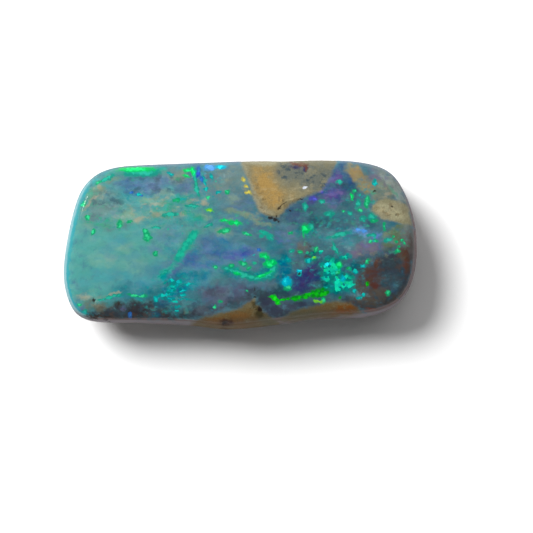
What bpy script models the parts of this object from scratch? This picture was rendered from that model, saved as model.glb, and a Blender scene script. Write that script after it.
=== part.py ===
# A polished boulder opal: a low rounded slab of precious opal grown through sandstone and ironstone.
# It is one natural piece, so it is one solid. Metres, +Z up, lying on its ground back.
# The origin is under the middle of the stone, on the surface that it rests on.
# +X runs along its length, and the opal face looks up.

import math

import bmesh
import bpy
from mathutils import Vector, noise

MM = 0.001

# Driving dimensions, in millimetres
LENGTH = 22.0
WIDTH = 10.6
GIRDLE_HEIGHT = 1.7  # level of the widest outline
SHOULDER_RISE = 2.3  # from the girdle to the edge of the face
DOME_RISE = 0.55  # how much the face crowns above its edge
DOME_FULLNESS = 2.2  # more brings the crown closer to the edge and flattens its middle
FACE_FALL = 0.3  # how much lower the face is at its left end than at its right
FOOT_INSET = 1.1  # from the outline in to the ground back
SIDE_LEAN = 0.12  # how far the side leans in between the girdle and the rounded edge
EDGE_RADIUS = 0.62  # of the rounded edge between side and face

# The back is bevelled at the left of the near edge: around here it lifts off the surface it lies on
LIFTED_CORNER = (-10.4, -4.6)
CORNER_LIFT = 1.8
CORNER_REACH = 8.0  # how far the bevel runs

# The outline seen from above, clockwise from the middle of the left end, in millimetres
OUTLINE = [
    (-10.97, -1.7), (-10.80, 0.2), (-10.42, 2.1), (-9.72, 3.7), (-8.2, 4.72), (-5.2, 5.05),
    (-1.0, 5.2), (3.5, 5.31), (7.3, 5.2), (9.25, 4.62), (10.2, 3.4), (10.82, 1.6),
    (10.98, -0.5), (10.72, -2.4), (9.85, -3.85), (8.2, -4.5), (5.2, -4.76), (2.4, -5.03),
    (-0.6, -5.28), (-3.5, -5.1), (-8.0, -5.0), (-9.55, -4.85), (-10.3, -4.35), (-10.78, -3.2),
]

# How finely the smooth forms are faceted
STEPS_PER_CORNER = 24
POINTS_AROUND = 96
RINGS_BACK = 5
RINGS_UNDER = 7
RINGS_SIDE = 4
RINGS_EDGE = 8
RINGS_FACE = 9

# The rings draw in towards a spine along the middle, which spans this share of the length
SPINE_SHARE = 0.5
LAST_DRAW = 0.955  # the innermost ring stops just short of the spine
BACK_DRAW = 0.8  # the same on the back
UNDER_ROUNDING = 2.3  # exponent of the rounding below: 2 is an ellipse, more is squarer

# Hollows and swells that the hand polishing left: place, reach and depth in millimetres.
# A negative depth is a swell.
HOLLOWS = [
    ((-6.5, 3.0, 4.4), 2.6, 0.10),
    ((-1.2, -5.2, 2.6), 2.4, -0.08),
    ((2.6, 4.9, 3.6), 1.8, 0.09),
    ((5.2, -4.9, 3.2), 2.2, 0.08),
    ((7.0, 0.5, 4.5), 3.2, 0.10),
    ((-9.6, -3.9, 1.4), 2.6, 0.16),
    ((9.3, -3.4, 1.2), 2.6, 0.14),
    ((-4.0, 5.0, 1.4), 2.2, 0.12),
    ((4.3, -4.4, 1.3), 2.0, 0.12),
    ((-6.4, -4.7, 1.4), 1.8, 0.10),
]
HOLLOW_FALLOFF = 2.5  # how quickly a hollow runs out towards its reach
WAVE_LENGTH = 4.5  # of the slight unevenness all over
WAVE_DEPTH = 0.06
FOOT_FADE = 0.9  # the unevenness fades to nothing over this height, so that the back stays flat

STONE_COLOUR = (0.09, 0.29, 0.30, 1.0)
STONE_ROUGHNESS = 0.12
OPAL_IOR = 1.45


def clear_scene():
    for obj in list(bpy.data.objects):
        bpy.data.objects.remove(obj, do_unlink=True)


def curve_point(before, start, end, after, t):
    """A point on the smooth curve from start to end, given the corners on either side."""
    along = (end - before) * t
    bend = (2 * before - 5 * start + 4 * end - after) * t**2
    turn = (3 * start - before - 3 * end + after) * t**3
    return (2 * start + along + bend + turn) / 2


def smooth_outline(corners, count):
    """Points evenly spaced along a smooth closed curve through the corners."""
    total = len(corners)
    dense = []
    for i in range(total):
        around = [Vector(corners[(i + k) % total]) for k in (-1, 0, 1, 2)]
        for step in range(STEPS_PER_CORNER):
            dense.append(curve_point(*around, step / STEPS_PER_CORNER))
    run = [0.0]
    for a, b in zip(dense, dense[1:] + dense[:1]):
        run.append(run[-1] + (b - a).length)
    points = []
    place = 0
    for i in range(count):
        target = run[-1] * i / count
        while run[place + 1] < target:
            place += 1
        share = (target - run[place]) / (run[place + 1] - run[place])
        points.append(dense[place].lerp(dense[(place + 1) % len(dense)], share))
    return points


def stations():
    """Each ring as (share drawn in towards the spine, height), out over the back and up to the face."""
    half_width = WIDTH / 2
    rings = []
    foot = FOOT_INSET / half_width
    for i in range(RINGS_BACK):
        rings.append((BACK_DRAW + (foot - BACK_DRAW) * i / RINGS_BACK, 0.0))
    for i in range(RINGS_UNDER):
        angle = math.pi / 2 * i / RINGS_UNDER
        inset = FOOT_INSET * (1 - math.sin(angle) ** (2 / UNDER_ROUNDING))
        height = GIRDLE_HEIGHT * (1 - math.cos(angle) ** (2 / UNDER_ROUNDING))
        rings.append((inset / half_width, height))
    side_rise = SHOULDER_RISE - EDGE_RADIUS
    for i in range(RINGS_SIDE):
        share = i / RINGS_SIDE
        rings.append((SIDE_LEAN * share**2 / half_width, GIRDLE_HEIGHT + side_rise * share))
    for i in range(RINGS_EDGE):
        angle = math.pi / 2 * i / RINGS_EDGE
        inset = SIDE_LEAN + EDGE_RADIUS * (1 - math.cos(angle))
        rise = side_rise + EDGE_RADIUS * math.sin(angle)
        rings.append((inset / half_width, GIRDLE_HEIGHT + rise))
    first = (SIDE_LEAN + EDGE_RADIUS) / half_width
    for i in range(RINGS_FACE + 1):
        drawn = first + (LAST_DRAW - first) * i / RINGS_FACE
        rings.append((drawn, GIRDLE_HEIGHT + SHOULDER_RISE))
    return [(drawn, height + crown(drawn, height)) for drawn, height in rings]


def share_above_girdle(height):
    return max(0.0, (height - GIRDLE_HEIGHT) / SHOULDER_RISE)


def crown(drawn, height):
    """What the dome adds: nothing below the girdle, and most of it in the middle of the face."""
    return DOME_RISE * share_above_girdle(height) * (1 - (1 - drawn) ** DOME_FULLNESS)


def face_fall(x, height):
    """What the face loses towards the left end, growing from the girdle up."""
    return FACE_FALL * share_above_girdle(height) * (0.5 - x / LENGTH)


def drawn_in(point, drawn):
    """A point of the outline, drawn that share of the way in to the spine."""
    return Vector((point.x * (1 - drawn * (1 - SPINE_SHARE)), point.y * (1 - drawn)))


def extrude_ring(mesh, edges, outline, place, drawn, height):
    """Extrudes the open ring of edges and puts the new ring at its station."""
    made = bmesh.ops.extrude_edge_only(mesh, edges=edges)["geom"]
    for vert in (v for v in made if isinstance(v, bmesh.types.BMVert)):
        spot = drawn_in(outline[vert[place]], drawn)
        vert.co = (spot.x, spot.y, height - face_fall(spot.x, height))
    return [e for e in made if isinstance(e, bmesh.types.BMEdge)]


def slab():
    """The smooth stone before its hollows: a loft of rings, closed below and above."""
    outline = smooth_outline(OUTLINE, POINTS_AROUND)
    rings = stations()
    mesh = bmesh.new()
    place = mesh.verts.layers.int.new("place")
    first = []
    for i, point in enumerate(outline):
        spot = drawn_in(point, rings[0][0])
        vert = mesh.verts.new((spot.x, spot.y, rings[0][1]))
        vert[place] = i
        first.append(vert)
    edges = [mesh.edges.new((a, b)) for a, b in zip(first, first[1:] + first[:1])]
    foot = mesh.faces.new(first)
    for drawn, height in rings[1:]:
        edges = extrude_ring(mesh, edges, outline, place, drawn, height)
    top = bmesh.ops.contextual_create(mesh, geom=edges)["faces"]
    bmesh.ops.triangulate(mesh, faces=[foot, *top], ngon_method="BEAUTY")
    bmesh.ops.recalc_face_normals(mesh, faces=mesh.faces)
    return mesh


def bevel_back(mesh):
    """Lifts the back around its bevelled corner, less and less up to the edge of the face."""
    for vert in mesh.verts:
        away = (vert.co.xy - Vector(LIFTED_CORNER)).length / CORNER_REACH
        lift = CORNER_LIFT * max(0.0, 1 - away) ** 2
        vert.co.z += lift * max(0.0, 1 - vert.co.z / (GIRDLE_HEIGHT + SHOULDER_RISE))


def polish_marks(mesh):
    """Moves the surface in and out by the hollows and the slight waves, but not the foot."""
    mesh.normal_update()
    moves = []
    for vert in mesh.verts:
        depth = WAVE_DEPTH * noise.noise(vert.co / WAVE_LENGTH)
        for centre, reach, deep in HOLLOWS:
            away = (vert.co - Vector(centre)).length / reach
            depth += deep * math.exp(-HOLLOW_FALLOFF * away * away)
        fade = min(1.0, vert.co.z / FOOT_FADE)
        moves.append(vert.normal * -depth * fade)
    for vert, move in zip(mesh.verts, moves):
        vert.co += move


def fit_to_size(mesh):
    """Brings the stone to its driving length and width, centred over the origin on its foot."""
    xs = [v.co.x for v in mesh.verts]
    ys = [v.co.y for v in mesh.verts]
    zs = [v.co.z for v in mesh.verts]
    middle = Vector(((min(xs) + max(xs)) / 2, (min(ys) + max(ys)) / 2, min(zs)))
    size = (LENGTH / (max(xs) - min(xs)), WIDTH / (max(ys) - min(ys)), 1.0)
    bmesh.ops.translate(mesh, verts=mesh.verts, vec=-middle)
    bmesh.ops.scale(mesh, verts=mesh.verts, vec=size)


def stone_material():
    material = bpy.data.materials.new("polished_boulder_opal")
    material.use_nodes = True
    shader = material.node_tree.nodes["Principled BSDF"]
    shader.inputs["Base Color"].default_value = STONE_COLOUR
    shader.inputs["Roughness"].default_value = STONE_ROUGHNESS
    shader.inputs["Metallic"].default_value = 0.0
    shader.inputs["IOR"].default_value = OPAL_IOR
    return material


def boulder_opal():
    """The whole stone, which is one natural piece."""
    mesh = slab()
    bevel_back(mesh)
    polish_marks(mesh)
    fit_to_size(mesh)
    bmesh.ops.scale(mesh, vec=(MM, MM, MM), verts=mesh.verts)
    data = bpy.data.meshes.new("boulder_opal")
    mesh.to_mesh(data)
    mesh.free()
    data.materials.append(stone_material())
    data.shade_smooth()
    stone = bpy.data.objects.new("boulder_opal", data)
    bpy.context.scene.collection.objects.link(stone)


clear_scene()
boulder_opal()
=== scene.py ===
# Polished boulder opal on a pale studio floor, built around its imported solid.
# Lengths in the dictionaries are millimetres; Blender's own are metres.
import math

import bmesh
import bpy
import numpy as np
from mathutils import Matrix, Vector, noise


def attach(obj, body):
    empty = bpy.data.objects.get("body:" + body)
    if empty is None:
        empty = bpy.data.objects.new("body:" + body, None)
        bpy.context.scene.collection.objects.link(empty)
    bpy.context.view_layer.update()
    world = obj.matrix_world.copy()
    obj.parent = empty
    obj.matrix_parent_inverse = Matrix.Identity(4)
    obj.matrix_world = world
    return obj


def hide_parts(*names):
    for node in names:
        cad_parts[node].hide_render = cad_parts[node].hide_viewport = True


mm = 0.001
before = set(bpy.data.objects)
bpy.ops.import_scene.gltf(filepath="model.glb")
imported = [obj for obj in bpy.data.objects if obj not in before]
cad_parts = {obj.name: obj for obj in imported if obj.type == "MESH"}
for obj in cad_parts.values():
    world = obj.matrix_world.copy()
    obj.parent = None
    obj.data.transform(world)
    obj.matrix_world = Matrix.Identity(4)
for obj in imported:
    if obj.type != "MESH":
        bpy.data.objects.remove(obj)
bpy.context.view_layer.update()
print("frame loaded")

# The studio: a camera nearly overhead, a large softbox at the upper left, a weak one beyond the stone,
# a small one that makes the few highlights, and pale walls whose light comes in low from all round
studio = {
    "photoPixels": 533,
    "pixelsPerMm": 16.0,
    "stoneAtPixel": (240.5, 245.25),  # where the middle of the stone's outline lies in the picture
    "outlineHeight": 1.9,  # height of that outline above the floor
    "elevation": 84.5,
    "lens": 150.0,
    "sensor": 36.0,
    "clipStart": 0.01,  # metres
    # azimuths run counter-clockwise from +X, and the apparent size of a softbox softens its shadow
    "softboxes": {
        "key": {"azimuth": 141.0, "elevation": 43.5, "strength": 4.7, "size": 34.0, "inGloss": False},
        "fill": {"azimuth": 75.0, "elevation": 60.0, "strength": 0.53, "size": 50.0, "inGloss": False},
        "glint": {"azimuth": 152.0, "elevation": 46.0, "strength": 0.1, "size": 5.0, "inGloss": True},
    },
    "horizonLight": 0.44,
    "overheadLight": 0.0,
    "floorColour": "#fafafa",
    "floorRoughness": 0.9,
    "floorSize": 900.0,
}


def linear(hexColour):
    # sRGB hex to the linear values that Blender's sockets hold
    channels = [int(hexColour[i : i + 2], 16) / 255 for i in (1, 3, 5)]
    bright = [c / 12.92 if c <= 0.04045 else ((c + 0.055) / 1.055) ** 2.4 for c in channels]
    return (*bright, 1.0)


def addNode(tree, kind, sockets=None, **settings):
    # A node with its settings; each socket takes a value, an output or a node's first output in use
    node = tree.nodes.new(kind)
    for name, value in settings.items():
        setattr(node, name, value)
    for socket, value in (sockets or {}).items():
        if isinstance(value, bpy.types.Node):
            value = next(output for output in value.outputs if output.enabled)
        if isinstance(value, bpy.types.NodeSocket):
            tree.links.new(value, node.inputs[socket])
        else:
            node.inputs[socket].default_value = value
    return node


# The sandstone and ironstone that show in the face, as outlines in the picture's millimetres
matrixOutlines = {
    "topWedge": [
        (-0.05, 6.0), (0.1, 5.1), (0.35, 4.4), (0.58, 3.8), (0.75, 3.2), (0.93, 2.65), (1.15, 2.15),
        (1.5, 1.95), (1.9, 1.72), (2.4, 1.72), (2.75, 2.1), (3.3, 2.6), (3.9, 2.95), (4.55, 3.2),
        (5.1, 3.38), (5.3, 3.7), (5.55, 4.15), (5.85, 4.7), (6.05, 5.2), (6.1, 6.0),
    ],
    "rightPatch": [
        (8.25, 2.5), (8.65, 2.85), (9.2, 2.98), (9.8, 2.85), (10.3, 2.6), (10.62, 2.4), (10.75, 1.3),
        (10.3, 1.3), (9.65, 1.45), (9.0, 1.62), (8.5, 1.9), (8.2, 2.2),
    ],
    "bottomWedge": [
        (-3.3, -4.95), (-2.2, -4.5), (-1.2, -4.28), (-0.1, -4.0), (0.5, -3.62), (0.9, -3.38), (1.1, -3.75),
        (1.45, -4.1), (1.8, -4.45), (2.5, -4.75), (2.6, -7.0), (-3.3, -7.0),
    ],
    "bottomLens": [
        (2.3, -4.75), (3.1, -4.25), (3.9, -3.98), (4.7, -3.82), (5.4, -3.6), (6.1, -3.52), (6.8, -3.62),
        (7.3, -3.9), (7.6, -4.2), (6.9, -4.4), (5.0, -4.5), (3.5, -4.72),
    ],
}

# Pits where grains of ironstone fell out of the face: place, reach and depth
pits = [
    ((1.97, 1.7), 0.15, 0.04), ((2.25, 1.6), 0.18, 0.05), ((2.46, 2.28), 0.13, 0.04),
    ((2.8, 2.6), 0.13, 0.03), ((9.5, 2.4), 0.09, 0.03), ((9.75, 1.93), 0.08, 0.02),
    ((-9.12, -3.4), 0.13, 0.04), ((-0.9, -4.95), 0.2, 0.05), ((0.9, -2.8), 0.11, 0.03),
    ((0.92, -3.3), 0.1, 0.03), ((3.75, 2.85), 0.13, 0.03), ((4.05, 3.58), 0.16, 0.05),
]

stoneShape = {
    "mergeWithin": 1e-7,  # metres, for the corners that the solid's triangles share
    "joinAngle": 40.0,  # triangles that meet flatter than this become quads
    "roundingLevels": 2,
    "voxel": 0.09,  # spacing of the fine mesh
    "smoothing": 10,  # passes, and how far each one goes
    "smoothingShare": 0.5,
    "depthLimit": 1.5,  # the depth inside the matrix is kept no further than this
    "matrixSlope": 0.4,  # width of the slope from the opal down to the matrix
    "matrixSunk": 0.016,  # the softer matrix polishes down below the opal
    "matrixGrain": 0.008,  # height of the sand grains that stay in it
    "grainSize": 0.22,
    "swellHeight": 0.02,  # the lap leaves the face very slightly uneven
    "swellSize": 1.9,
    "pitsAbove": 0.2,  # only where the surface looks up at least so much
    "pitRagged": 0.5,  # how uneven the rim of a pit is, and over what distance
    "pitRaggedSize": 0.08,
    "pitFalloff": 2.2,  # how steeply its walls rise towards its reach
    "pitSquareness": 4,
    "pitEnd": 2,  # it has run out at this many times its reach
    "flatBackTo": 0.3,  # the relief fades out below this height, so that the back stays flat
    "faceGrow": 1.017,  # the face is nearer the camera than the outline, so it shows that much larger
    "faceShift": 0.22,  # and this much higher in the picture
}


def onFace(x, y):
    # From the picture's millimetres to those of the stone's face
    return x / stoneShape["faceGrow"], (y - stoneShape["faceShift"]) / stoneShape["faceGrow"]


def insideDistance(points, corners):
    # How deep each point lies inside the outline, negative outside it
    nearest = np.full(len(points), 1e9)
    inside = np.zeros(len(points), bool)
    corners = np.array([onFace(*corner) for corner in corners])
    for start, end in zip(corners, np.roll(corners, -1, axis=0)):
        edge = end - start
        share = np.clip((points - start) @ edge / (edge @ edge), 0, 1)
        away = points - start - share[:, None] * edge
        nearest = np.minimum(nearest, np.linalg.norm(away, axis=1))
        if start[1] != end[1]:
            level = (points[:, 1] - start[1]) / edge[1]
            inside ^= (level > 0) & (level <= 1) & (points[:, 0] < start[0] + level * edge[0])
    return np.where(inside, nearest, -nearest)


def fineCopy(node):
    # The node's form on an even fine mesh, in millimetres
    edit = bmesh.new()
    edit.from_mesh(node.data)
    bmesh.ops.remove_doubles(edit, verts=edit.verts, dist=stoneShape["mergeWithin"])
    flat = math.radians(stoneShape["joinAngle"])
    bmesh.ops.join_triangles(edit, faces=edit.faces, angle_face_threshold=flat, angle_shape_threshold=flat)
    bmesh.ops.scale(edit, vec=(1 / mm, 1 / mm, 1 / mm), verts=edit.verts)
    coarse = bpy.data.meshes.new("coarse")
    edit.to_mesh(coarse)
    edit.free()
    holder = bpy.data.objects.new("coarse", coarse)
    bpy.context.scene.collection.objects.link(holder)
    rounded = holder.modifiers.new("rounded", "SUBSURF")
    rounded.levels = rounded.render_levels = stoneShape["roundingLevels"]
    even = holder.modifiers.new("even", "REMESH")
    even.mode = "VOXEL"
    even.voxel_size = stoneShape["voxel"]
    graph = bpy.context.evaluated_depsgraph_get()
    fine = bpy.data.meshes.new_from_object(holder.evaluated_get(graph))
    bpy.data.objects.remove(holder, do_unlink=True)
    return fine


def matrixDepths(mesh):
    # For every vertex, how deep it lies inside the matrix
    places = np.zeros(len(mesh.vertices) * 3)
    mesh.vertices.foreach_get("co", places)
    points = places.reshape(-1, 3)[:, :2]
    depths = np.max([insideDistance(points, corners) for corners in matrixOutlines.values()], axis=0)
    return np.clip(depths, -stoneShape["depthLimit"], stoneShape["depthLimit"])


def relief(point, normal, matrixDepth):
    # How far the polished surface stands proud at a point
    rise = stoneShape["swellHeight"] * noise.noise(point / stoneShape["swellSize"])
    inMatrix = min(1.0, max(0.0, 0.5 + matrixDepth / stoneShape["matrixSlope"]))
    rise -= stoneShape["matrixSunk"] * inMatrix
    rise += stoneShape["matrixGrain"] * inMatrix * noise.noise(point / stoneShape["grainSize"])
    if normal.z > stoneShape["pitsAbove"]:
        for place, reach, deep in pits:
            away = (point.xy - Vector(onFace(*place))).length / reach
            if away < stoneShape["pitEnd"]:
                away *= 1 + stoneShape["pitRagged"] * noise.noise(point / stoneShape["pitRaggedSize"])
                rise -= deep * math.exp(-stoneShape["pitFalloff"] * away ** stoneShape["pitSquareness"])
    return rise


def buildStone():
    mesh = fineCopy(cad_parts["boulder_opal"])
    edit = bmesh.new()
    edit.from_mesh(mesh)
    for _ in range(stoneShape["smoothing"]):
        bmesh.ops.smooth_vert(
            edit, verts=edit.verts, factor=stoneShape["smoothingShare"],
            use_axis_x=True, use_axis_y=True, use_axis_z=True,
        )
    edit.to_mesh(mesh)
    depths = matrixDepths(mesh)
    edit.verts.ensure_lookup_table()
    edit.normal_update()
    moves = [v.normal * relief(v.co, v.normal, depths[v.index]) for v in edit.verts]
    for vert, move in zip(edit.verts, moves):
        vert.co += move * min(1.0, vert.co.z / stoneShape["flatBackTo"])
    bmesh.ops.scale(edit, vec=(mm, mm, mm), verts=edit.verts)
    edit.to_mesh(mesh)
    edit.free()
    mesh.name = "polished_stone"
    mesh.attributes.new("matrixDepth", "FLOAT", "POINT").data.foreach_set("value", depths)
    mesh.materials.clear()
    mesh.materials.append(polishedOpal())
    mesh.shade_smooth()
    stone = bpy.data.objects.new("polished_stone", mesh)
    bpy.context.scene.collection.objects.link(stone)
    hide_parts("boulder_opal")
    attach(stone, "root")
    print("stone built,", len(mesh.polygons), "faces")


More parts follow.
